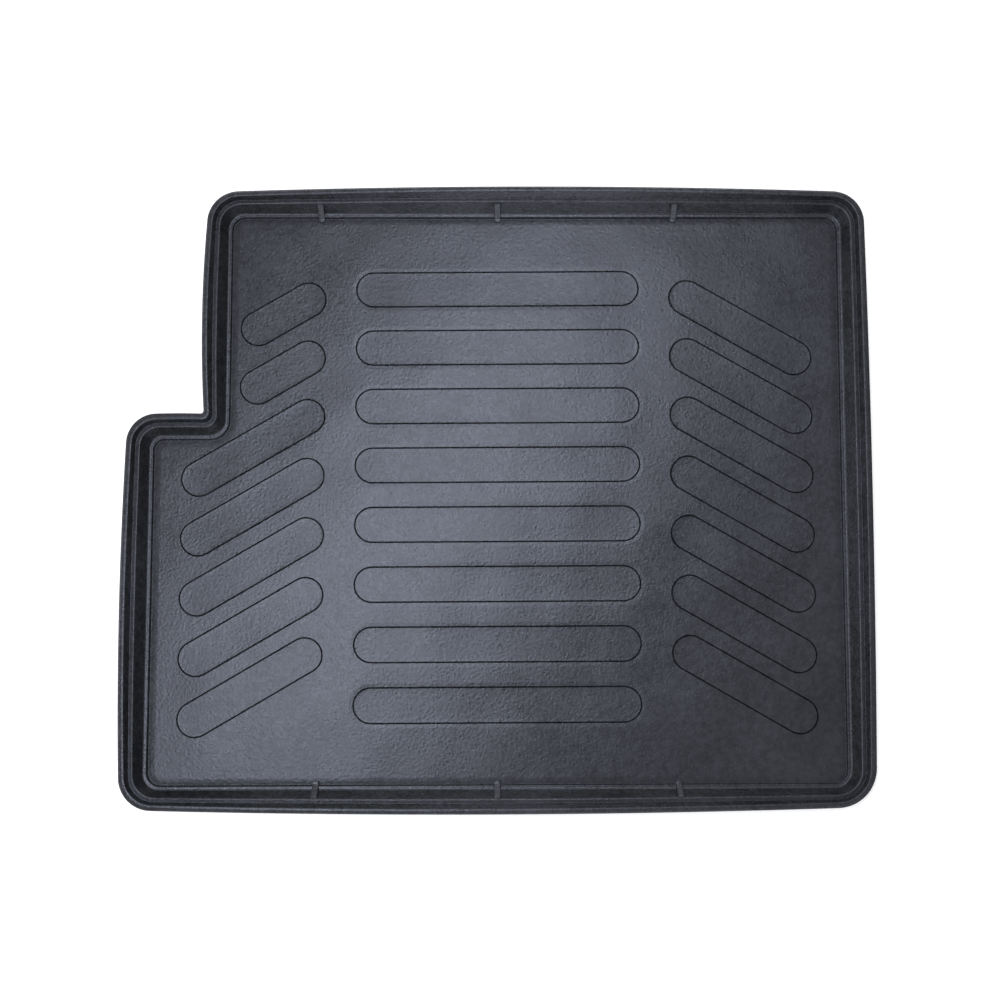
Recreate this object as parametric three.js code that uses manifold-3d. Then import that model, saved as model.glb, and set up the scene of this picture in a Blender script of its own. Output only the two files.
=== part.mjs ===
// Boot liner: one moulded rubber tray that lies on the load floor of a car.
// A flat floor with engraved grip pads stands inside a stepped rim of the same sheet,
// and one corner is notched to pass the trim at the side of the load space.
// Millimetres. +X runs to the right, +Y to the far side, +Z up from the resting plane.

import * as THREE from "three";
import { mergeVertices } from "three/addons/utils/BufferGeometryUtils.js";
import Module from "manifold-3d";

// Floor, measured to the foot of the rim.
const FLOOR_WIDTH = 967.5;
const FLOOR_DEPTH = 799;
const NOTCH_WIDTH = 106;
const NOTCH_DEPTH = 320;
const NEAR_EDGE_DRIFT = 4; // the near edge runs this much further out at its left end
const SHEET = 3.2; // thickness of the floor, the walls and the lip

// Section of the rim, outwards from the edge of the floor.
const CURB_HEIGHT = 4; // above the face of the floor
const CURB_RUN = 1.5;
const CURB_WIDTH = 4.5;
const LEDGE_HEIGHT = 28.5; // above the resting plane
const LOWER_WALL_RUN = 8;
const LEDGE_WIDTH = 6;
const RIM_HEIGHT = 38.5; // above the resting plane
const UPPER_WALL_RUN = 2.5;
const LIP_WIDTH = 8;

// Bends of the sheet, as radii on its upper face.
const CURB_BEND = 0.8;
const WALL_FOOT_BEND = 2;
const LEDGE_BEND = 1.5;
const LIP_BEND = 1.5;
const LIP_EDGE_ROUND = 2.2;
const LIP_UNDER_ROUND = 0.8;
const TIGHTEST_BEND = 0.5;

// Corner radii in plan, at the edge of the floor and at the edge of the lip.
const FAR_CORNER_FLOOR = 18;
const FAR_CORNER_RIM = 45;
const NEAR_CORNER_FLOOR = 18;
const NEAR_LEFT_CORNER_RIM = 46;
const NEAR_RIGHT_CORNER_RIM = 55;
const NOTCH_TIP_FLOOR = 14;
const NOTCH_TIP_RIM = 42;
const NOTCH_CROOK_FLOOR = 28;
const NOTCH_CROOK_RIM = 4;

// How far the middle of each side of the lip stands out from a straight line.
const NEAR_BOW = 7;
const RIGHT_BOW = 3.5;
const FAR_BOW = 7.3;
const NOTCH_SIDE_BOW = 5;
const SHELF_BOW = 0.5;
const LEFT_BOW = 4.5;
const LEDGE_BOW_SHARE = 0.5; // the part of the bow that is already there at the ledge

// How much further than the section says the lip of some sides leans out all along.
const RIGHT_SPLAY = 2.5;
const NOTCH_SIDE_SPLAY = 1;
const SHELF_SPLAY = 3;
const LEFT_SPLAY = 2;

// Grip pads: long rounded outlines engraved in the floor, sizes to the middle of the groove.
const PAD_WIDTH = 49.2;
const PAD_PITCH = 84;
const CENTRE_PAD_LENGTH = 401;
const CENTRE_ROW_MARGIN = 75; // least room between the rows and the near and far edges
const CENTRE_ROW_SHIFT = 3; // the rows sit this far beyond the middle of the floor
const ROW_TILT = 0.36; // degrees that every row of pads rises by to the right
const SLANT_ANGLE = 30.05; // degrees, before the tilt
const SLANT_ROW_DROP = 14; // first slanted pad's inner end below the first row's middle
const SLANT_NEAR_MARGIN = 58;
const COLUMN_GAP = 44; // between the centre pads' ends and the slanted pads
const EDGE_GAP = 38.7; // between the slanted pads and the side edges of the floor
const NOTCH_GAP = 13.3; // between the short pads and the side of the notch
const NOTCH_CLEARANCE = 8; // a pad that would come nearer to the notch is a short one
const GROOVE_WIDTH = 2.4;
const GROOVE_DEPTH = 1.1;

// Stiffening ribs inside the far and near walls.
const RIB_WIDTH = 9;
const RIB_SPACING = 251;
const RIB_SIDE_COUNT = 1; // ribs on each side of the middle one
const RIB_FOOT_REACH = 5.5; // how far the foot comes in over the floor
const RIB_FOOT_HEIGHT = 5; // above the face of the floor
const RIB_FOOT_ROUND = 3;

// Steps that round stretches and bowed sides are cut into.
const CORNER_STEPS = 8;
const BEND_STEPS = 2;
const PAD_END_STEPS = 10;
const SIDE_STEP_LENGTH = 110;

const COLOUR = 0x35363c;
const OVERSHOOT = 1; // how far a cutting tool stands clear of the face that it cuts

const wasm = await Module();
wasm.setup();

const halfWidth = FLOOR_WIDTH / 2;
const halfDepth = FLOOR_DEPTH / 2;
const notchX = -halfWidth + NOTCH_WIDTH;
const shelfY = halfDepth - NOTCH_DEPTH;
const padRadius = PAD_WIDTH / 2;
const curbTop = SHEET + CURB_HEIGHT;

// The floor's corners in order, anticlockwise from above. Each starts the side that follows it.
const corners = [
  {
    x: -halfWidth,
    y: -halfDepth - NEAR_EDGE_DRIFT / 2,
    radii: [NEAR_CORNER_FLOOR, NEAR_LEFT_CORNER_RIM],
    side: { bow: NEAR_BOW, splay: 0 },
  },
  {
    x: halfWidth,
    y: -halfDepth + NEAR_EDGE_DRIFT / 2,
    radii: [NEAR_CORNER_FLOOR, NEAR_RIGHT_CORNER_RIM],
    side: { bow: RIGHT_BOW, splay: RIGHT_SPLAY },
  },
  {
    x: halfWidth,
    y: halfDepth,
    radii: [FAR_CORNER_FLOOR, FAR_CORNER_RIM],
    side: { bow: FAR_BOW, splay: 0 },
  },
  {
    x: notchX,
    y: halfDepth,
    radii: [FAR_CORNER_FLOOR, FAR_CORNER_RIM],
    side: { bow: NOTCH_SIDE_BOW, splay: NOTCH_SIDE_SPLAY },
  },
  {
    x: notchX,
    y: shelfY,
    radii: [NOTCH_CROOK_FLOOR, NOTCH_CROOK_RIM],
    side: { bow: SHELF_BOW, splay: SHELF_SPLAY },
  },
  {
    x: -halfWidth,
    y: shelfY,
    radii: [NOTCH_TIP_FLOOR, NOTCH_TIP_RIM],
    side: { bow: LEFT_BOW, splay: LEFT_SPLAY },
  },
];
const NEAR_SIDE = 0;
const FAR_SIDE = 2;

// Upper face of the section, from the floor to the top outer edge of the lip.
const wallFoot = CURB_RUN + CURB_WIDTH;
const ledgeStart = wallFoot + LOWER_WALL_RUN;
const ledgeEnd = ledgeStart + LEDGE_WIDTH;
const lipStart = ledgeEnd + UPPER_WALL_RUN;
const rimReach = lipStart + LIP_WIDTH;
const face = [
  { reach: 0, height: SHEET, bend: 0 },
  { reach: CURB_RUN, height: curbTop, bend: CURB_BEND },
  { reach: wallFoot, height: curbTop, bend: WALL_FOOT_BEND },
  { reach: ledgeStart, height: LEDGE_HEIGHT, bend: LEDGE_BEND },
  { reach: ledgeEnd, height: LEDGE_HEIGHT, bend: LEDGE_BEND },
  { reach: lipStart, height: RIM_HEIGHT, bend: LIP_BEND },
  { reach: rimReach, height: RIM_HEIGHT, bend: LIP_EDGE_ROUND },
];

/** The item before or after the one at index in a closed list. */
function around(list, index) {
  return list[(index + list.length) % list.length];
}

/** Points of the arc that rounds a corner, kept within its two neighbouring stretches. */
function roundCorner(before, corner, after, radius, steps) {
  const back = before.clone().sub(corner);
  const on = after.clone().sub(corner);
  const room = Math.min(back.length(), on.length()) * 0.48;
  const half = Math.acos(THREE.MathUtils.clamp(back.normalize().dot(on.normalize()), -1, 1)) / 2;
  const toTangent = Math.min(radius / Math.tan(half), room);
  const inward = back.clone().add(on).normalize();
  const centre = corner.clone().addScaledVector(inward, toTangent / Math.cos(half));
  const start = corner.clone().addScaledVector(back, toTangent).sub(centre);
  const end = corner.clone().addScaledVector(on, toTangent).sub(centre);
  const turn = Math.atan2(start.cross(end), start.dot(end));
  return Array.from({ length: steps + 1 }, (_, step) =>
    start.clone().rotateAround(new THREE.Vector2(), (turn * step) / steps).add(centre));
}

/** Outward unit normal of the side that starts at a corner. */
function sideNormal(index) {
  const from = around(corners, index);
  const to = around(corners, index + 1);
  return new THREE.Vector2(to.y - from.y, from.x - to.x).normalize();
}

/** How far out a side lies at a reach of the section, with its share of the side's splay. */
function sideReach(index, reach) {
  return reach * (1 + around(corners, index).side.splay / rimReach);
}

/** A corner moved out to where its two sides meet at a reach of the section. */
function reachedCorner(index, reach) {
  const [before, after] = [sideNormal(index - 1), sideNormal(index)];
  const [first, second] = [sideReach(index - 1, reach), sideReach(index, reach)];
  const aligned = before.dot(after);
  return new THREE.Vector2(around(corners, index).x, around(corners, index).y)
    .addScaledVector(before, (first - second * aligned) / (1 - aligned * aligned))
    .addScaledVector(after, (second - first * aligned) / (1 - aligned * aligned));
}

/** How many steps a side is cut into, the same at every level of the rim. */
function sideSteps(index) {
  const from = reachedCorner(index, 0);
  return Math.max(2, Math.round(from.distanceTo(reachedCorner(index + 1, 0)) / SIDE_STEP_LENGTH));
}

/** Share of a side's bow at a height of the upper face: none at the curb, all of it at the lip. */
function bowShare(height) {
  const low = THREE.MathUtils.clamp((height - curbTop) / (LEDGE_HEIGHT - curbTop), 0, 1);
  const high = THREE.MathUtils.clamp((height - LEDGE_HEIGHT) / (RIM_HEIGHT - LEDGE_HEIGHT), 0, 1);
  return low * LEDGE_BOW_SHARE + high * (1 - LEDGE_BOW_SHARE);
}

/** A bow's depth at a place along the side, from -1 at its start to 1 at its end. */
function bowAt(place) {
  return 1 - place * place;
}

/** The arc of one corner at a given reach outside the floor. */
function cornerArc(index, reach) {
  const [floorRadius, rimRadius] = around(corners, index).radii;
  const radius = THREE.MathUtils.lerp(floorRadius, rimRadius, reach / rimReach);
  const points = [index - 1, index, index + 1].map((each) => reachedCorner(each, reach));
  return roundCorner(points[0], points[1], points[2], radius, CORNER_STEPS);
}

/** Closed outline of the tray at a reach outside the floor, its sides bowed by a share. */
function trayOutline(reach, share) {
  const arcs = corners.map((_, index) => cornerArc(index, reach));
  return arcs.flatMap((arc, index) => {
    const from = arc.at(-1);
    const to = around(arcs, index + 1)[0];
    const steps = sideSteps(index);
    const side = Array.from({ length: steps - 1 }, (_, step) => {
      const along = (step + 1) / steps;
      const bow = corners[index].side.bow * share * bowAt(2 * along - 1);
      return from.clone().lerp(to, along).addScaledVector(sideNormal(index), bow);
    });
    return [...arc, ...side];
  });
}

/** The face moved a distance into the sheet, with its corners mitred. */
function sunkenFace(depth) {
  return face.slice(0, -1).map((point, index) => {
    const before = index > 0 ? face[index - 1] : { reach: point.reach - 1, height: point.height };
    const after = face[index + 1];
    const [first, second] = [[before, point], [point, after]].map(([from, to]) =>
      new THREE.Vector2(to.height - from.height, from.reach - to.reach).normalize());
    const scale = depth / (1 + first.dot(second));
    const turnsUp = first.cross(second) > 0;
    const bend = turnsUp ? point.bend + depth : Math.max(TIGHTEST_BEND, point.bend - depth);
    return {
      reach: point.reach + (first.x + second.x) * scale,
      height: point.height + (first.y + second.y) * scale,
      bend,
    };
  });
}

/** The section's corners, from under the floor's edge, round the lip and back to the floor. */
function sectionCorners() {
  const under = sunkenFace(SHEET).map((point) => ({ ...point, faceHeight: point.height + SHEET }));
  const lowerEdge = {
    reach: rimReach,
    height: RIM_HEIGHT - SHEET,
    bend: LIP_UNDER_ROUND,
    faceHeight: RIM_HEIGHT,
  };
  const upper = face.map((point) => ({ ...point, faceHeight: point.height })).reverse();
  return [...under, lowerEdge, ...upper];
}

/** The section with its bends rounded: one entry for each level of the tray's wall. */
function sectionLevels() {
  const points = sectionCorners();
  const flat = points.map((point) => new THREE.Vector2(point.reach, point.height));
  return points.flatMap((point, index) => {
    const isEnd = index === 0 || index === points.length - 1;
    const bent = isEnd || point.bend === 0
      ? [flat[index]]
      : roundCorner(flat[index - 1], flat[index], flat[index + 1], point.bend, BEND_STEPS);
    return bent.map((place) => ({
      reach: place.x,
      height: place.y,
      share: bowShare(point.faceHeight + place.y - point.height),
    }));
  });
}

/** Geometry from loops of equal length, each joined to the next; ends are capped or joined. */
function loftLoops(loops, joinEnds) {
  const count = loops[0].length;
  const positions = loops.flat().flatMap((point) => [point.x, point.y, point.z]);
  const triangles = [];
  const bands = joinEnds ? loops.length : loops.length - 1;
  for (let band = 0; band < bands; band += 1) {
    const low = band * count;
    const high = ((band + 1) % loops.length) * count;
    for (let step = 0; step < count; step += 1) {
      const next = (step + 1) % count;
      triangles.push(low + step, low + next, high + next);
      triangles.push(low + step, high + next, high + step);
    }
  }
  if (!joinEnds) {
    const last = (loops.length - 1) * count;
    capFaces(loops[0]).forEach(([a, b, c]) => triangles.push(a, c, b));
    capFaces(loops.at(-1)).forEach(([a, b, c]) => triangles.push(last + a, last + b, last + c));
  }
  const geometry = new THREE.BufferGeometry();
  geometry.setAttribute("position", new THREE.Float32BufferAttribute(positions, 3));
  geometry.setIndex(triangles);
  return geometry;
}

/** Triangles that fill a flat loop. */
function capFaces(loop) {
  return THREE.ShapeUtils.triangulateShape(loop.map((point) => new THREE.Vector2(point.x, point.y)), []);
}

/** A solid for cutting and joining, from a closed geometry. */
function toSolid(geometry) {
  const plain = geometry.clone();
  plain.deleteAttribute("normal");
  plain.deleteAttribute("uv");
  const merged = mergeVertices(plain, 1e-5);
  return new wasm.Manifold(new wasm.Mesh({
    numProp: 3,
    vertProperties: new Float32Array(merged.attributes.position.array),
    triVerts: new Uint32Array(merged.index.array),
  }));
}

/** A geometry from a finished solid. */
function toGeometry(solid) {
  const mesh = solid.getMesh();
  const geometry = new THREE.BufferGeometry();
  geometry.setAttribute("position", new THREE.Float32BufferAttribute(mesh.vertProperties, 3));
  geometry.setIndex(new THREE.Uint32BufferAttribute(mesh.triVerts, 1));
  geometry.computeVertexNormals();
  return geometry;
}

/** The bare tray: floor, curb, ledge, walls and lip in one sheet. */
function trayShell() {
  const loops = sectionLevels().map(({ reach, height, share }) =>
    trayOutline(reach, share).map((point) => new THREE.Vector3(point.x, point.y, height)));
  return toSolid(loftLoops(loops, false));
}

/** Closed outline with two round ends about the line from one point to another. */
function padOutline(from, to, radius) {
  const heading = to.clone().sub(from).angle();
  return [[to, heading], [from, heading + Math.PI]].flatMap(([centre, outward]) =>
    Array.from({ length: PAD_END_STEPS + 1 }, (_, step) => {
      const angle = outward - Math.PI / 2 + (Math.PI * step) / PAD_END_STEPS;
      return new THREE.Vector2(Math.cos(angle), Math.sin(angle)).multiplyScalar(radius).add(centre);
    }));
}

/** A pad's end moved with its row: up on the right and down on the left by the rows' tilt. */
function tiltedEnd(end) {
  return new THREE.Vector2(end.x, end.y + end.x * Math.tan(THREE.MathUtils.degToRad(ROW_TILT)));
}

/** Cutter for the groove round one pad: a ring with a wedge section. */
function padGroove(pad) {
  const [from, to] = pad.map(tiltedEnd);
  const spread = (GROOVE_WIDTH / 2) * (1 + OVERSHOOT / GROOVE_DEPTH);
  const loop = (radius, height) =>
    padOutline(from, to, radius).map((point) => new THREE.Vector3(point.x, point.y, height));
  const top = SHEET + OVERSHOOT;
  return toSolid(loftLoops([
    loop(padRadius, SHEET - GROOVE_DEPTH),
    loop(padRadius + spread, top),
    loop(padRadius - spread, top),
  ], true));
}

/** Middle heights of the rows of centre pads, far row first. */
function rowHeights() {
  const room = FLOOR_DEPTH - 2 * CENTRE_ROW_MARGIN - PAD_WIDTH;
  const count = Math.max(1, Math.floor(room / PAD_PITCH) + 1);
  return Array.from({ length: count }, (_, row) =>
    CENTRE_ROW_SHIFT + ((count - 1) / 2 - row) * PAD_PITCH);
}

/** Centre pads, each as the centres of its two round ends. */
function centrePads() {
  const reach = CENTRE_PAD_LENGTH / 2 - padRadius;
  return rowHeights().map((y) => [new THREE.Vector2(-reach, y), new THREE.Vector2(reach, y)]);
}

/** Whether a pad from an inner end at this height passes clear below the rounded notch. */
function passesNotch(innerX, innerY) {
  const slope = Math.tan(THREE.MathUtils.degToRad(SLANT_ANGLE));
  const roundCentre = new THREE.Vector2(notchX - NOTCH_CROOK_FLOOR, shelfY + NOTCH_CROOK_FLOOR);
  const axisY = innerY - (-innerX - roundCentre.x) * slope;
  const distance = (roundCentre.y - axisY) * Math.cos(Math.atan(slope));
  return distance - NOTCH_CROOK_FLOOR - padRadius >= NOTCH_CLEARANCE;
}

/** Slanted pads of both columns, falling away from the middle. Those beside the notch are short. */
function slantedPads() {
  const slope = Math.tan(THREE.MathUtils.degToRad(SLANT_ANGLE));
  const innerX = CENTRE_PAD_LENGTH / 2 + COLUMN_GAP + padRadius;
  const outerX = halfWidth - EDGE_GAP - padRadius;
  const shortX = -notchX - NOTCH_GAP - padRadius;
  const firstY = rowHeights()[0] - SLANT_ROW_DROP;
  const lastY = -halfDepth + SLANT_NEAR_MARGIN + padRadius + (outerX - innerX) * slope;
  const count = Math.max(1, Math.floor((firstY - lastY) / PAD_PITCH) + 1);
  const pads = [];
  for (let row = 0; row < count; row += 1) {
    const innerY = firstY - row * PAD_PITCH;
    for (const side of [-1, 1]) {
      const isShort = side < 0 && !passesNotch(innerX, innerY);
      const endX = isShort ? shortX : outerX;
      pads.push([
        new THREE.Vector2(side * innerX, innerY),
        new THREE.Vector2(side * endX, innerY - (endX - innerX) * slope),
      ]);
    }
  }
  return pads;
}

/** Outward shift of the wall beside a rib, for a height on the upper face. */
function bowBesideRib(sideIndex, x, height) {
  const from = around(corners, sideIndex);
  const to = around(corners, sideIndex + 1);
  const place = (2 * x - from.x - to.x) / (to.x - from.x);
  return from.side.bow * bowAt(place) * bowShare(height);
}

/** Side view of a rib, outwards and up: foot on the floor, back inside the lower wall. */
function ribProfile(sideIndex, x) {
  const beside = ({ reach, height }, faceHeight) =>
    new THREE.Vector2(reach + bowBesideRib(sideIndex, x, faceHeight), height);
  const head = beside({ reach: ledgeStart, height: LEDGE_HEIGHT }, LEDGE_HEIGHT);
  const footTop = new THREE.Vector2(-RIB_FOOT_REACH, SHEET + RIB_FOOT_HEIGHT);
  const footBottom = new THREE.Vector2(-RIB_FOOT_REACH, SHEET / 2);
  const back = sunkenFace(SHEET / 2).slice(0, 4).map((point) => beside(point, point.height + SHEET / 2));
  const foot = roundCorner(footBottom, footTop, head, RIB_FOOT_ROUND, BEND_STEPS * 2);
  return [footBottom, ...back, head, ...foot.reverse()];
}

/** One stiffening rib, set against the far or near wall. */
function rib(sideIndex, x) {
  const from = around(corners, sideIndex);
  const to = around(corners, sideIndex + 1);
  const edgeY = THREE.MathUtils.mapLinear(x, from.x, to.x, from.y, to.y);
  const outward = new THREE.Vector3(0, Math.sign(sideNormal(sideIndex).y), 0);
  const up = new THREE.Vector3(0, 0, 1);
  const across = outward.clone().cross(up);
  const place = new THREE.Matrix4().makeBasis(outward, up, across).setPosition(x, edgeY, 0);
  const blade = new THREE.ExtrudeGeometry(new THREE.Shape(ribProfile(sideIndex, x)), {
    depth: RIB_WIDTH,
    bevelEnabled: false,
  });
  blade.translate(0, 0, -RIB_WIDTH / 2).applyMatrix4(place);
  const middle = new THREE.Vector2(x, edgeY);
  const direction = new THREE.Vector2(outward.x, outward.y);
  const ends = [RIB_WIDTH / 2 - RIB_FOOT_REACH, rimReach].map((reach) =>
    middle.clone().addScaledVector(direction, reach));
  const loops = [0, RIM_HEIGHT].map((height) =>
    padOutline(ends[0], ends[1], RIB_WIDTH / 2).map((point) => new THREE.Vector3(point.x, point.y, height)));
  return toSolid(blade).intersect(toSolid(loftLoops(loops, false)));
}

/** All ribs: one in the middle of the far and near walls, and others at even spacing. */
function ribs() {
  const solids = [];
  for (const sideIndex of [FAR_SIDE, NEAR_SIDE]) {
    for (let step = -RIB_SIDE_COUNT; step <= RIB_SIDE_COUNT; step += 1) {
      solids.push(rib(sideIndex, step * RIB_SPACING));
    }
  }
  return solids;
}

/** The finished liner, centred in plan on its own outline. */
function bootLiner() {
  let solid = trayShell();
  for (const pad of [...centrePads(), ...slantedPads()]) {
    solid = solid.subtract(padGroove(pad));
  }
  for (const each of ribs()) {
    solid = solid.add(each);
  }
  const geometry = toGeometry(solid);
  geometry.computeBoundingBox();
  const centre = geometry.boundingBox.getCenter(new THREE.Vector3());
  const material = new THREE.MeshStandardMaterial({ color: COLOUR, roughness: 0.72, metalness: 0 });
  const mesh = new THREE.Mesh(geometry, material);
  mesh.name = "boot_liner";
  mesh.position.set(-centre.x, -centre.y, 0);
  return mesh;
}

const group = new THREE.Group();
group.add(bootLiner());

export default group;
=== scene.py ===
"""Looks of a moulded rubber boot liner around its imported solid. Metres, +Z up."""

import math

import bmesh
import bpy
from mathutils import Matrix, Vector


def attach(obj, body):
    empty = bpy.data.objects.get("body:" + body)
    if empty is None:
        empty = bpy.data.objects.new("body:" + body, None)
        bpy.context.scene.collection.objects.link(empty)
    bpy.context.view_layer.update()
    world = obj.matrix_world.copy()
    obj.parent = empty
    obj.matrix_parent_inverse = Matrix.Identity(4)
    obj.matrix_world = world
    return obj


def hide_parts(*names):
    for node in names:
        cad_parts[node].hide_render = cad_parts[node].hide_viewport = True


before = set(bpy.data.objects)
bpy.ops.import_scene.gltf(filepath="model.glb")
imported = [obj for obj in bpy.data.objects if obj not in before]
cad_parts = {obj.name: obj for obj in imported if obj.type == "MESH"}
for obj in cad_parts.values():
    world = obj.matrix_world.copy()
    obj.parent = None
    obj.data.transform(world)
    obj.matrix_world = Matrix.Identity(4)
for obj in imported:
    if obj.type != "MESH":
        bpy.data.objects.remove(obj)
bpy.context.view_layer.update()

# The sheet of the tray: floor, curb, lower wall, ledge, upper wall and lip.
# Real one: a single pressing of black rubber, as thick in the rim as in the floor.
# Made level by level: each closed line of the rim is drawn, bridged to the next and its bends rounded.
mm = 0.001
floor_width = 967.5 * mm
floor_depth = 799 * mm
notch_width = 106 * mm
notch_depth = 320 * mm
near_edge_drift = 4 * mm
sheet = 3.2 * mm
curb_top = 7.2 * mm
ledge_height = 28.5 * mm
rim_height = 38.5 * mm
rim_reach = 30.5 * mm
lip_slope = 1.8 * mm
ledge_fall = 1.2 * mm
ledge_bow_share = 0.5
tightest_bend = 0.5 * mm
corner_steps = 16
bend_segments = 5
side_step = 30 * mm
stack_step = 60 * mm

left_edge = -floor_width / 2
far_edge = floor_depth / 2
notch_side = left_edge + notch_width
shelf_edge = far_edge - notch_depth
left_drift = near_edge_drift / 2

# Floor corners, anticlockwise: place, radius at the floor and at the lip, bow and splay of the next side.
tray_corners = (
    (Vector((left_edge, -far_edge - left_drift)), 18 * mm, 46 * mm, 7 * mm, 0),
    (Vector((-left_edge, -far_edge + left_drift)), 18 * mm, 55 * mm, 3.5 * mm, 2.5 * mm),
    (Vector((-left_edge, far_edge)), 18 * mm, 45 * mm, 7.3 * mm, 0),
    (Vector((notch_side, far_edge)), 18 * mm, 45 * mm, 5 * mm, 1 * mm),
    (Vector((notch_side, shelf_edge)), 28 * mm, 4 * mm, 0.5 * mm, 3 * mm),
    (Vector((left_edge, shelf_edge)), 14 * mm, 42 * mm, 4.5 * mm, 2 * mm),
)

# Upper face of the rim, outwards: reach past the floor's edge, height, radius of the bend there.
rim_face = (
    (0, sheet, 0.5 * mm),
    (1.5 * mm, curb_top, 0.9 * mm),
    (6 * mm, curb_top - 0.3 * mm, 2.6 * mm),
    (14 * mm, ledge_height, 1.8 * mm),
    (19.8 * mm, ledge_height - ledge_fall, 0.6 * mm),
    (22.5 * mm, rim_height, 1.3 * mm),
    (26.4 * mm, rim_height, 5 * mm),
    (rim_reach, rim_height - lip_slope, 1.2 * mm),
)

# The lip slopes down to a rounded edge, and the floor falls a trace towards the curb.
lip_under_edge = (rim_reach, rim_height - lip_slope - sheet, 0.6 * mm)
floor_fall = ((0, 0.90 * mm), (-2.5 * mm, 0.48 * mm), (-5.5 * mm, 0.17 * mm), (-9 * mm, 0))


def side_direction(index):
    """Unit vector along the side that starts at a corner."""
    start = tray_corners[index % 6][0]
    return (tray_corners[(index + 1) % 6][0] - start).normalized()


def side_outward(index):
    """Unit vector that points out of the tray from the side that starts at a corner."""
    along = side_direction(index)
    return Vector((along.y, -along.x))


def level_corner(index, reach):
    """Where the two sides of a corner meet, at a reach of the rim."""
    before, after = side_outward(index - 1), side_outward(index)
    splay_before = tray_corners[(index - 1) % 6][4]
    splay_after = tray_corners[index % 6][4]
    first = reach * (1 + splay_before / rim_reach)
    second = reach * (1 + splay_after / rim_reach)
    aligned = before.dot(after)
    spread = 1 - aligned * aligned
    shift = before * ((first - second * aligned) / spread) + after * ((second - first * aligned) / spread)
    return tray_corners[index % 6][0] + shift


def bow_share(height):
    """Share of a side's bow at a height of the upper face."""
    low = (height - curb_top) / (ledge_height - curb_top)
    high = (height - ledge_height) / (rim_height - ledge_height)
    low, high = min(max(low, 0), 1), min(max(high, 0), 1)
    return low * ledge_bow_share + high * (1 - ledge_bow_share)


def rounded_corner(index, reach):
    """Start, centre and turn of the arc that rounds a corner at a reach of the rim."""
    _, floor_radius, lip_radius, _, _ = tray_corners[index % 6]
    radius = floor_radius + (lip_radius - floor_radius) * reach / rim_reach
    before, after = side_direction(index - 1), side_direction(index)
    turn = math.atan2(before.cross(after), before.dot(after))
    start = level_corner(index, reach) - before * radius * math.tan(abs(turn) / 2)
    return start, start - side_outward(index - 1) * math.copysign(radius, turn), turn


def draw_on(mesh, vertex, place):
    """Draws a straight edge from a vertex to a place. Returns its new end."""
    end = bmesh.ops.extrude_vert_indiv(mesh, verts=[vertex])["verts"][0]
    bmesh.ops.translate(mesh, verts=[end], vec=place - vertex.co)
    return end


def sweep_on(mesh, vertex, centre, angle, steps):
    """Draws an arc on from a vertex, round a centre and anticlockwise from above. Returns its new end."""
    spun = bmesh.ops.spin(
        mesh, geom=[vertex], cent=centre, axis=(0, 0, 1), angle=angle, steps=steps, use_duplicate=False)
    return spun["geom_last"][0]


def draw_level(mesh, reach, height, share):
    """Draws one closed line of the rim: arcs at the corners joined by bowed sides. Returns its edges."""
    known = set(mesh.edges)
    first = vertex = mesh.verts.new(rounded_corner(0, reach)[0].to_3d() + Vector((0, 0, height)))
    for index, (corner, _, _, bow, _) in enumerate(tray_corners):
        _, centre, turn = rounded_corner(index, reach)
        vertex = sweep_on(mesh, vertex, (centre.x, centre.y, height), turn, corner_steps)
        side_start = vertex.co.copy()
        side_end = rounded_corner(index + 1, reach)[0].to_3d() + Vector((0, 0, height))
        steps = max(2, round((tray_corners[(index + 1) % 6][0] - corner).length / side_step))
        for step in range(1, steps):
            place = 2 * step / steps - 1
            straight = side_start.lerp(side_end, step / steps)
            bulge = side_outward(index).to_3d() * bow * share * (1 - place * place)
            vertex = draw_on(mesh, vertex, straight + bulge)
        if index < 5:
            vertex = draw_on(mesh, vertex, side_end)
    mesh.edges.new((vertex, first))
    return [edge for edge in mesh.edges if edge not in known]


def sunken_face(depth):
    """The upper face moved into the sheet with mitred corners, and the bends that fit there."""
    moved = []
    for index, (reach, height, bend) in enumerate(rim_face[:-1]):
        here = Vector((reach, height))
        onward = (Vector(rim_face[index + 1][:2]) - here).normalized()
        inbound = (here - Vector(rim_face[index - 1][:2])).normalized() if index else Vector((1, 0))
        first, second = Vector((inbound.y, -inbound.x)), Vector((onward.y, -onward.x))
        place = here + (first + second) * depth / (1 + first.dot(second))
        rises = inbound.cross(onward) > 0
        moved.append((place.x, place.y, bend + depth if rises else max(tightest_bend, bend - depth)))
    return moved


def round_bend(mesh, edges, radius, segments):
    """Rounds a line of edges to a radius, from the angle that its faces make."""
    turn = sum(edge.calc_face_angle() for edge in edges) / len(edges)
    bmesh.ops.bevel(
        mesh, geom=edges, offset=radius * math.tan(turn / 2), offset_type="OFFSET", affect="EDGES",
        segments=segments, profile=0.5, material=-1, clamp_overlap=False)


tray = bmesh.new()
under = [(reach, height, bend, bow_share(height + sheet)) for reach, height, bend in sunken_face(sheet)]
upper = [(reach, height, bend, bow_share(height)) for reach, height, bend in reversed(rim_face[1:])]
foot = [(reach, sheet - fall, 0 if reach else rim_face[0][2], 0) for reach, fall in floor_fall]
section = [(floor_fall[-1][0], 0, 0, 0)] + under + [(*lip_under_edge, 1)] + upper + foot
levels = [draw_level(tray, reach, place * stack_step, share)
          for place, (reach, _, _, share) in enumerate(section)]
for lower_line, upper_line in zip(levels, levels[1:]):
    bmesh.ops.bridge_loops(tray, edges=lower_line + upper_line)
for (_, height, _, _), line in zip(section, levels):
    for vertex in {vertex for edge in line for vertex in edge.verts}:
        vertex.co.z = height
bmesh.ops.recalc_face_normals(tray, faces=tray.faces)
for (_, _, bend, _), line in zip(section, levels):
    if bend:
        round_bend(tray, line, bend, bend_segments)
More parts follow.
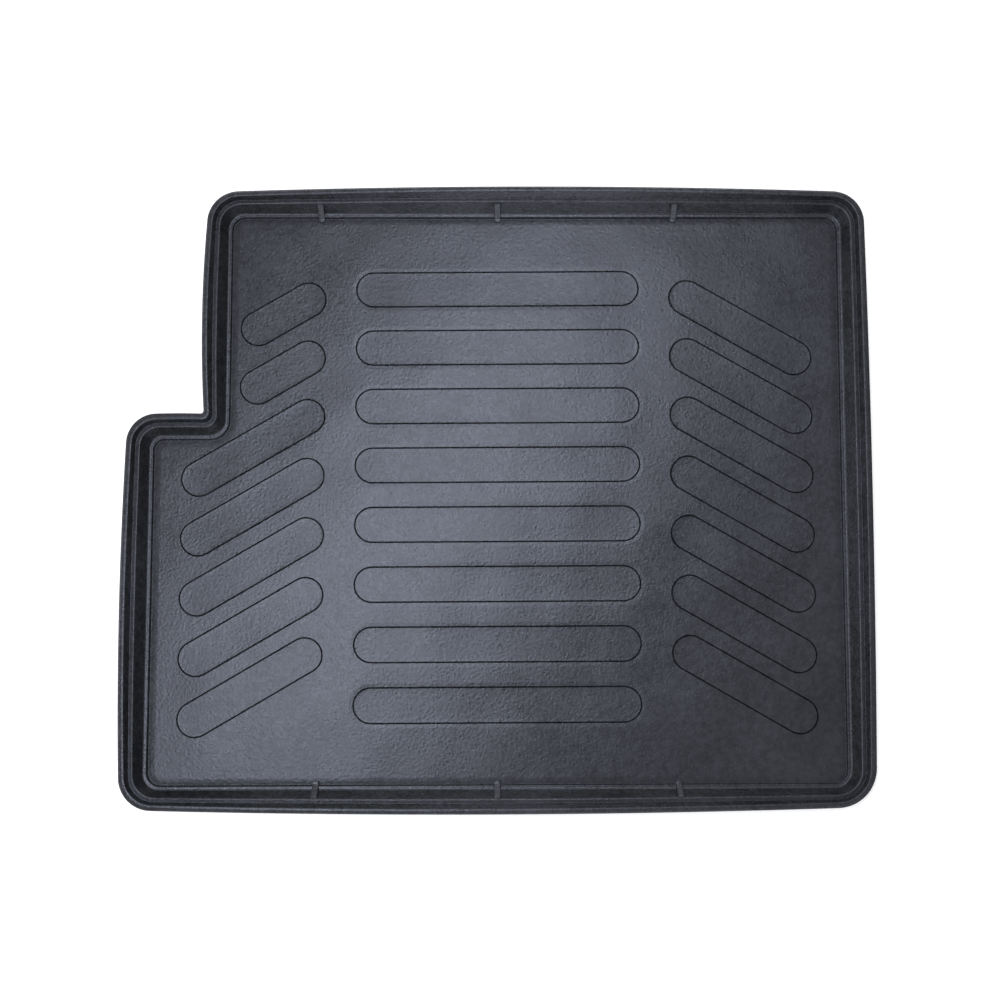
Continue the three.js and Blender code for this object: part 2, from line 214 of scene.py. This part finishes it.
for face in tray.faces:
    face.smooth = True
bmesh.ops.triangle_fill(tray, use_beauty=True, use_dissolve=False, edges=levels[0])

# Grip pads: long rounded fields in the floor, each inside a narrow engraved groove.
# Moulded in one with the sheet. The photo's shading has the fields inside a trace hollow.
# Made from a face with two spun ends, inset down into the groove and up again onto the pad.
pad_width = 49.2 * mm
pad_pitch = 84 * mm
centre_pad_length = 401 * mm
centre_rows = 8
centre_row_shift = 3 * mm
row_tilt = math.tan(math.radians(0.36))
slant = math.tan(math.radians(30.05))
slant_rows = 7
slant_row_drop = 14 * mm
column_gap = 44 * mm
edge_gap = 38.7 * mm
notch_gap = 13.3 * mm
short_pads = 2
groove_width = 2.3 * mm
groove_depth = 1.7 * mm
pad_end_steps = 24

# Strip of floor that slopes to the groove, as width and fall: wide at centre pads, narrow at slanted ones.
centre_strip = (5 * mm, 0.22 * mm)
slant_strip = (0.45 * mm, 0.01 * mm)
# Inside the groove the pad is a trace dished: pairs of width and rise, from its edge inwards.
pad_dish = ((0.9 * mm, -0.05 * mm), (6 * mm, -0.10 * mm), (8 * mm, -0.05 * mm))


def pad_spans():
    """Centres of the two round ends of every pad and the strip around it."""
    radius = pad_width / 2
    half = centre_pad_length / 2 - radius
    first_row = centre_row_shift + (centre_rows - 1) / 2 * pad_pitch
    spans = []
    for row in range(centre_rows):
        height = first_row - row * pad_pitch
        spans.append(((-half, height), (half, height), centre_strip))
    inner = centre_pad_length / 2 + column_gap + radius
    for row in range(slant_rows):
        height = first_row - slant_row_drop - row * pad_pitch
        for side in (-1, 1):
            is_short = side < 0 and row < short_pads
            outer = -notch_side - notch_gap - radius if is_short else floor_width / 2 - edge_gap - radius
            outer_end = (side * outer, height - (outer - inner) * slant)
            spans.append(((side * inner, height), outer_end, slant_strip))
    return spans


def draw_pad(mesh, start, end, strip):
    """Draws one pad with the groove around it and a strip of floor outside."""
    strip_width, strip_fall = strip
    radius = (pad_width + groove_width) / 2 + strip_width
    start, end = (Vector((x, y + x * row_tilt, sheet)) for x, y in (start, end))
    along = (end - start).normalized()
    aside = Vector((along.y, -along.x, 0)) * radius
    first = mesh.verts.new(end + aside)
    turned = sweep_on(mesh, first, end, math.pi, pad_end_steps)
    turned = draw_on(mesh, turned, start - aside)
    turned = sweep_on(mesh, turned, start, math.pi, pad_end_steps)
    mesh.edges.new((turned, first))
    field = bmesh.ops.contextual_create(mesh, geom=mesh.edges[:])["faces"][0]
    field.normal_update()
    if field.normal.z < 0:
        field.normal_flip()
    groove = ((groove_width / 2, -groove_depth), (groove_width / 2, groove_depth))
    for thickness, depth in ((strip_width, -strip_fall),) + groove + pad_dish:
        inset = bmesh.ops.inset_individual(
            mesh, faces=[field], thickness=thickness, depth=depth, use_even_offset=True)
        for face in inset["faces"]:
            face.smooth = True
    field.smooth = False


for span_start, span_end, span_strip in pad_spans():
    pad = bmesh.new()
    draw_pad(pad, span_start, span_end, span_strip)
    pad_mesh = bpy.data.meshes.new("pad")
    pad.to_mesh(pad_mesh)
    pad.free()
    tray.from_mesh(pad_mesh)
    bpy.data.meshes.remove(pad_mesh)
open_edges = [edge for edge in tray.edges if edge.is_boundary]
bmesh.ops.triangle_fill(tray, use_beauty=True, use_dissolve=False, edges=open_edges, normal=(0, 0, 1))
bmesh.ops.recalc_face_normals(tray, faces=tray.faces)

tray_mesh = bpy.data.meshes.new("liner_sheet")
tray.to_mesh(tray_mesh)
tray.free()
liner = bpy.data.objects.new("liner_sheet", tray_mesh)
bpy.context.scene.collection.objects.link(liner)

# Stiffening ribs: six short bars that brace the lower wall against the floor.
# Real ones are moulded with the tray, three inside the far wall and three inside the near wall.
# Made from a side view extruded to the bar's width, its edges rounded, and united with the sheet.
rib_width = 9 * mm
rib_spacing = 251 * mm
rib_foot_reach = 5.5 * mm
rib_foot_height = 3.6 * mm
rib_foot_round = 3 * mm
rib_toe_length = 4.8 * mm
rib_shoulder_reach = 3 * mm
rib_shoulder_drop = 2 * mm
rib_back_round = 1.2 * mm
rib_top_round = 1 * mm
rib_sides = (0, 2)
rib_back_segments = 6
rib_foot_segments = 8
rib_top_segments = 5
rib_crest_slope = 0.15
rib_tolerance = mm / 100
crease_angle = math.radians(35)


def rib_profile(index, place_x):
    """Side view of a rib as pairs of reach and height, from its foot along its back to its head."""
    start, end = tray_corners[index][0], tray_corners[index + 1][0]
    place = (2 * place_x - start.x - end.x) / (end.x - start.x)
    bow = tray_corners[index][3] * (1 - place * place)
    back = [(reach + bow * bow_share(height + sheet / 2), height)
            for reach, height, _ in sunken_face(sheet / 2)[:4]]
    head = (rim_face[3][0] + bow * ledge_bow_share, ledge_height)
    shoulder = (head[0] - rib_shoulder_reach, head[1] - rib_shoulder_drop)
    toe = (-rib_foot_reach + rib_toe_length, sheet + rib_foot_height)
    foot = [toe, (-rib_foot_reach, toe[1]), (-rib_foot_reach, sheet / 2)]
    return foot + back + [head, shoulder]


def draw_rib(mesh, index, place_x):
    """Draws one closed rib against the far or near wall."""
    start, end = tray_corners[index][0], tray_corners[index + 1][0]
    edge_y = start.y + (end.y - start.y) * (place_x - start.x) / (end.x - start.x)
    outward = math.copysign(1, edge_y)
    outline = [mesh.verts.new((place_x - rib_width / 2, edge_y + outward * reach, height))
               for reach, height in rib_profile(index, place_x)]
    mesh.faces.new(outline)
    bmesh.ops.bevel(
        mesh, geom=[outline[0], outline[-1]], offset=rib_back_round, offset_type="OFFSET", affect="VERTICES",
        segments=rib_back_segments, profile=0.5, material=-1, clamp_overlap=False)
    side = outline[1].link_faces[0]
    outline = list(side.verts)
    grown = bmesh.ops.extrude_face_region(mesh, geom=[side], use_keep_orig=True)
    moved = [each for each in grown["geom"] if isinstance(each, bmesh.types.BMVert)]
    bmesh.ops.translate(mesh, verts=moved, vec=(rib_width, 0, 0))
    blade = list({face for vertex in outline + moved for face in vertex.link_faces})
    bmesh.ops.recalc_face_normals(mesh, faces=blade)
    foot_line = edge_y - outward * rib_foot_reach
    uprights = [edge for edge in mesh.edges if edge.verts[0] in outline + moved
                and all(abs(vertex.co.y - foot_line) < rib_tolerance for vertex in edge.verts)
                and abs(edge.verts[0].co.x - edge.verts[1].co.x) < rib_tolerance]
    bmesh.ops.bevel(
        mesh, geom=uprights, offset=rib_foot_round, offset_type="OFFSET", affect="EDGES",
        segments=rib_foot_segments, profile=0.5, material=-1, clamp_overlap=False)
    crest = [face for face in mesh.faces if face.normal.z > rib_crest_slope
             and abs(face.calc_center_median().x - place_x) < rib_width
             and face.calc_center_median().y * outward > 0]
    top_edges = [edge for edge in {edge for face in crest for edge in face.edges}
                 if sum(face in crest for face in edge.link_faces) == 1
                 and not all(vertex.co.z > ledge_height - rib_tolerance for vertex in edge.verts)]
    bmesh.ops.bevel(
        mesh, geom=top_edges, offset=rib_top_round, offset_type="OFFSET", affect="EDGES",
        segments=rib_top_segments, profile=0.5, material=-1, clamp_overlap=False)


ribs = bmesh.new()
for rib_index in rib_sides:
    for rib_step in (-1, 0, 1):
        draw_rib(ribs, rib_index, rib_step * rib_spacing)
for face in ribs.faces:
    face.smooth = True
bmesh.ops.recalc_face_normals(ribs, faces=ribs.faces)
rib_mesh = bpy.data.meshes.new("ribs")
ribs.to_mesh(rib_mesh)
ribs.free()
rib_set = bpy.data.objects.new("ribs", rib_mesh)
bpy.context.scene.collection.objects.link(rib_set)

union = liner.modifiers.new("ribs", "BOOLEAN")
union.operation = "UNION"
union.solver = "EXACT"
union.object = rib_set
bpy.context.view_layer.update()
joined = bpy.data.meshes.new_from_object(liner.evaluated_get(bpy.context.evaluated_depsgraph_get()))
liner.modifiers.clear()
liner.data = joined
bpy.data.objects.remove(rib_set)

creased = bmesh.new()
creased.from_mesh(joined)
for edge in creased.edges:
    edge.smooth = edge.calc_face_angle() < crease_angle
creased.to_mesh(joined)
creased.free()

# The same rubber over the whole piece: nearly black with a blue cast and a fine leathery grain.
# The sheen over the grain is cloudy and mottled, as the photo shows it.
# Read from Object coordinates, so the pattern stays with the piece.
rubber_dark = (0.005, 0.0051, 0.0062, 1)
rubber_pale = (0.021, 0.0214, 0.0252, 1)
cloud_scale = 9
cloud_range = (0.3, 0.7)
mottle_scale = 120
mottle_range = (0.32, 0.68)
mottle_weight = 1.3
patina_ends = (0.15, 0.9)
pebble_scale = 260
cell_scale = 560
cell_softness = 0.5
cell_weight = 0.15
grain_depth = 0.45 * mm
swell_scale = 13
swell_depth = 1.4 * mm
rubber_specular = 0.38
rubber_sheen_tint = (0.80, 0.85, 1.0, 1)
rubber_roughness = (0.21, 0.32)
roughness_ends = (0.1, 0.9)

rubber = bpy.data.materials.new("liner_rubber")
rubber.use_nodes = True
rubber_nodes = rubber.node_tree.nodes
shader = rubber_nodes["Principled BSDF"]


def add_node(kind, inputs, **settings):
    """Adds a node to the rubber: sets its inputs, or links them where a socket is given."""
    node = rubber_nodes.new(kind)
    for name, value in settings.items():
        setattr(node, name, value)
    for name, value in inputs.items():
        if isinstance(value, bpy.types.NodeSocket):
            rubber.node_tree.links.new(value, node.inputs[name])
        else:
            node.inputs[name].default_value = value
    return node


coordinates = add_node("ShaderNodeTexCoord", {}).outputs["Object"]
clouds = add_node("ShaderNodeTexNoise", {
    "Vector": coordinates, "Scale": cloud_scale, "Detail": 5, "Roughness": 0.55}).outputs["Fac"]
mottle = add_node("ShaderNodeTexNoise", {
    "Vector": coordinates, "Scale": mottle_scale, "Detail": 4, "Roughness": 0.6}).outputs["Fac"]
pebbles = add_node("ShaderNodeTexNoise", {
    "Vector": coordinates, "Scale": pebble_scale, "Detail": 3, "Roughness": 0.65}).outputs["Fac"]
cells = add_node("ShaderNodeTexVoronoi", {
    "Vector": coordinates, "Scale": cell_scale, "Smoothness": cell_softness},
    feature="SMOOTH_F1").outputs["Distance"]
grain = add_node("ShaderNodeMath", {
    0: cells, 1: cell_weight, 2: pebbles}, operation="MULTIPLY_ADD").outputs[0]

tint = add_node("ShaderNodeMapRange", {
    "Value": clouds, "From Min": cloud_range[0], "From Max": cloud_range[1]}).outputs[0]
flecks = add_node("ShaderNodeMapRange", {
    "Value": mottle, "From Min": mottle_range[0], "From Max": mottle_range[1]}).outputs[0]
spots = add_node("ShaderNodeMath", {
    0: flecks, 1: mottle_weight, 2: tint}, operation="MULTIPLY_ADD").outputs[0]
patina = add_node("ShaderNodeMath", {0: spots, 1: 1 / (1 + mottle_weight)}, operation="MULTIPLY").outputs[0]
ramp = add_node("ShaderNodeValToRGB", {"Fac": patina})
ramp.color_ramp.elements[0].position = patina_ends[0]
ramp.color_ramp.elements[0].color = rubber_dark
ramp.color_ramp.elements[1].position = patina_ends[1]
ramp.color_ramp.elements[1].color = rubber_pale
gloss = add_node("ShaderNodeMapRange", {
    "Value": patina, "From Min": roughness_ends[0], "From Max": roughness_ends[1],
    "To Min": rubber_roughness[0], "To Max": rubber_roughness[1]}).outputs[0]
waves = add_node("ShaderNodeTexNoise", {
    "Vector": coordinates, "Scale": swell_scale, "Detail": 0}).outputs["Fac"]
swell = add_node("ShaderNodeBump", {"Height": waves, "Distance": swell_depth, "Strength": 1}).outputs[0]
relief = add_node("ShaderNodeBump", {
    "Height": grain, "Distance": grain_depth, "Strength": 1, "Normal": swell}).outputs[0]

shader.inputs["Specular IOR Level"].default_value = rubber_specular
shader.inputs["Specular Tint"].default_value = rubber_sheen_tint
rubber.node_tree.links.new(ramp.outputs["Color"], shader.inputs["Base Color"])
rubber.node_tree.links.new(gloss, shader.inputs["Roughness"])
rubber.node_tree.links.new(relief, shader.inputs["Normal"])

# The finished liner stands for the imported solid: one moulded piece, centred on its own outline.
liner_corners = [Vector(corner) for corner in liner.bound_box]
outline_middle = (liner_corners[0] + liner_corners[6]) / 2
liner.data.transform(Matrix.Translation((-outline_middle.x, -outline_middle.y, 0)))
liner.data.materials.clear()
liner.data.materials.append(rubber)
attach(liner, "root")
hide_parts("boot_liner")

# Studio floor: a wide sheet of white paper that keeps the liner's soft shadow.
floor_size = 8
floor_white = (0.82, 0.82, 0.82, 1)
floor_lift = 0.5
floor_drop = 0.3 * mm

paper = bpy.data.materials.new("studio_paper")
paper.use_nodes = True
paper_nodes, paper_links = paper.node_tree.nodes, paper.node_tree.links
paper_shader = paper_nodes["Principled BSDF"]
paper_shader.inputs["Base Color"].default_value = floor_white
paper_shader.inputs["Roughness"].default_value = 0.9
paper_shader.inputs["Specular IOR Level"].default_value = 0
paper_shader.inputs["Emission Color"].default_value = (1, 1, 1, 1)
light_path = paper_nodes.new("ShaderNodeLightPath")
lift = paper_nodes.new("ShaderNodeMath")
lift.operation = "MULTIPLY"
lift.inputs[1].default_value = floor_lift
paper_links.new(light_path.outputs["Is Camera Ray"], lift.inputs[0])
paper_links.new(lift.outputs[0], paper_shader.inputs["Emission Strength"])

floor_sheet = bmesh.new()
bmesh.ops.create_grid(floor_sheet, x_segments=1, y_segments=1, size=floor_size / 2)
bmesh.ops.translate(floor_sheet, verts=floor_sheet.verts, vec=(0, 0, -floor_drop))
floor_mesh = bpy.data.meshes.new("studio_floor")
floor_sheet.to_mesh(floor_mesh)
floor_sheet.free()
floor_mesh.materials.append(paper)
studio_floor = bpy.data.objects.new("studio_floor", floor_mesh)
bpy.context.scene.collection.objects.link(studio_floor)

# One long cool soft box hangs over the tray, left of its middle and turned.
# It gives the slanting band of sheen on the floor.
box_place = Vector((-0.29, 0.13, 2.3))
box_size = (0.5, 2.2)
box_turn = math.radians(-34)
box_power = 46
box_tint = (0.93, 0.95, 1.0)

box_light = bpy.data.lights.new("soft_box", "AREA")
box_light.shape = "RECTANGLE"
box_light.size, box_light.size_y = box_size
box_light.energy = box_power
box_light.color = box_tint
soft_box = bpy.data.objects.new("soft_box", box_light)
soft_box.location = box_place
soft_box.rotation_euler = (0, 0, box_turn)
bpy.context.scene.collection.objects.link(soft_box)

# Three low panels stand left, near and far of the tray and light its sloping walls from the side.
# A black card on the right keeps the walls that face it dark.
panel_turns = (0, math.radians(90), math.radians(-90))
panel_distance = 1.7
panel_size = (0.42, 2.4)
panel_power = 15
card_colour = (0.01, 0.01, 0.01, 1)

for turn in panel_turns:
    panel_light = bpy.data.lights.new("panel", "AREA")
    panel_light.shape = "RECTANGLE"
    panel_light.size, panel_light.size_y = panel_size
    panel_light.energy = panel_power
    panel = bpy.data.objects.new("panel", panel_light)
    panel.location = (-panel_distance * math.cos(turn), -panel_distance * math.sin(turn), panel_size[0] / 2)
    panel.rotation_euler = (0, math.radians(-90), turn)
    bpy.context.scene.collection.objects.link(panel)

card_black = bpy.data.materials.new("card_black")
card_black.use_nodes = True
card_shader = card_black.node_tree.nodes["Principled BSDF"]
card_shader.inputs["Base Color"].default_value = card_colour
card_shader.inputs["Roughness"].default_value = 1
card_sheet = bmesh.new()
bmesh.ops.create_grid(card_sheet, x_segments=1, y_segments=1, size=0.5)
bmesh.ops.scale(card_sheet, verts=card_sheet.verts, vec=(panel_size[0], panel_size[1], 1))
bmesh.ops.rotate(card_sheet, verts=card_sheet.verts, matrix=Matrix.Rotation(math.radians(90), 3, "Y"))
bmesh.ops.translate(card_sheet, verts=card_sheet.verts, vec=(panel_distance, 0, panel_size[0] / 2))
card_mesh = bpy.data.meshes.new("card")
card_sheet.to_mesh(card_mesh)
card_sheet.free()
card_mesh.materials.append(card_black)
card = bpy.data.objects.new("card", card_mesh)
card.visible_camera = False
bpy.context.scene.collection.objects.link(card)

# The room around is pale and even. The camera, mirrors and glass see it as plain white.
room_strength = 0.34

room = bpy.data.worlds.new("room")
room.use_nodes = True
room_nodes, room_links = room.node_tree.nodes, room.node_tree.links
backdrop = room_nodes["Background"]
backdrop.inputs["Color"].default_value = (1, 1, 1, 1)
room_path = room_nodes.new("ShaderNodeLightPath")
seen = room_nodes.new("ShaderNodeMath")
seen.operation = "MAXIMUM"
room_links.new(room_path.outputs["Is Camera Ray"], seen.inputs[0])
room_links.new(room_path.outputs["Is Transmission Ray"], seen.inputs[1])
seen_or_mirrored = room_nodes.new("ShaderNodeMath")
seen_or_mirrored.operation = "MAXIMUM"
room_links.new(seen.outputs[0], seen_or_mirrored.inputs[0])
room_links.new(room_path.outputs["Is Glossy Ray"], seen_or_mirrored.inputs[1])
brightness = room_nodes.new("ShaderNodeMapRange")
room_links.new(seen_or_mirrored.outputs[0], brightness.inputs["Value"])
brightness.inputs["To Min"].default_value = room_strength
brightness.inputs["To Max"].default_value = 1
room_links.new(brightness.outputs[0], backdrop.inputs["Strength"])
bpy.context.scene.world = room

# The camera looks down at the tray from two metres, five degrees off straight down.
camera_place = (0.00388, -0.18056, 1.9662)
camera_tilt = math.radians(5.108)
camera_lens = 50.4

lens = bpy.data.cameras.new("photo_camera")
lens.lens = camera_lens
lens.sensor_width = 36
photo_camera = bpy.data.objects.new("photo_camera", lens)
photo_camera.location = camera_place
photo_camera.rotation_euler = (camera_tilt, 0, 0)
bpy.context.scene.collection.objects.link(photo_camera)
bpy.context.scene.camera = photo_camera
bpy.context.scene.view_settings.view_transform = "Standard"
